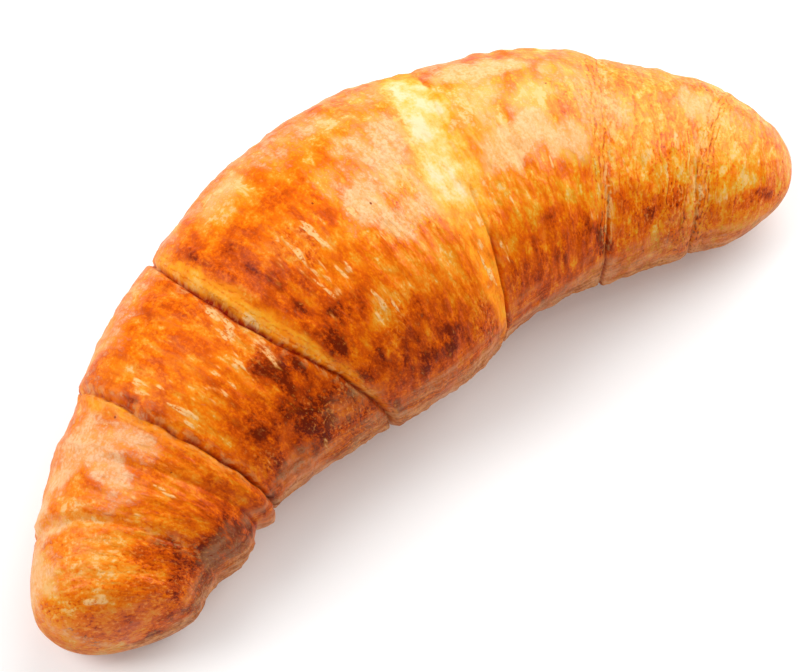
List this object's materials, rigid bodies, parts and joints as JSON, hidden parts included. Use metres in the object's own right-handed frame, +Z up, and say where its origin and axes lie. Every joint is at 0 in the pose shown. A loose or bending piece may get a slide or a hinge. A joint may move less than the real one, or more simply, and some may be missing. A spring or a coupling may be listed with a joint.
{
  "type": "butter croissant",
  "caption": "Baked croissant: a crescent roll of laminated dough with overlapping wraps and rounded horns, lying on its flat underside.",
  "frame": {"origin": "centre of the bounding box, on the flat underside", "axes": "+X from the left horn's tip to the right horn's, +Y towards the outer side of the crescent, +Z up"},
  "size_m": [0.1658, 0.0644, 0.0449],
  "materials": {
    "crust": "satin"
  },
  "bodies": {
    "root": {"croissant": "crust"}
  },
  "joints": []
}
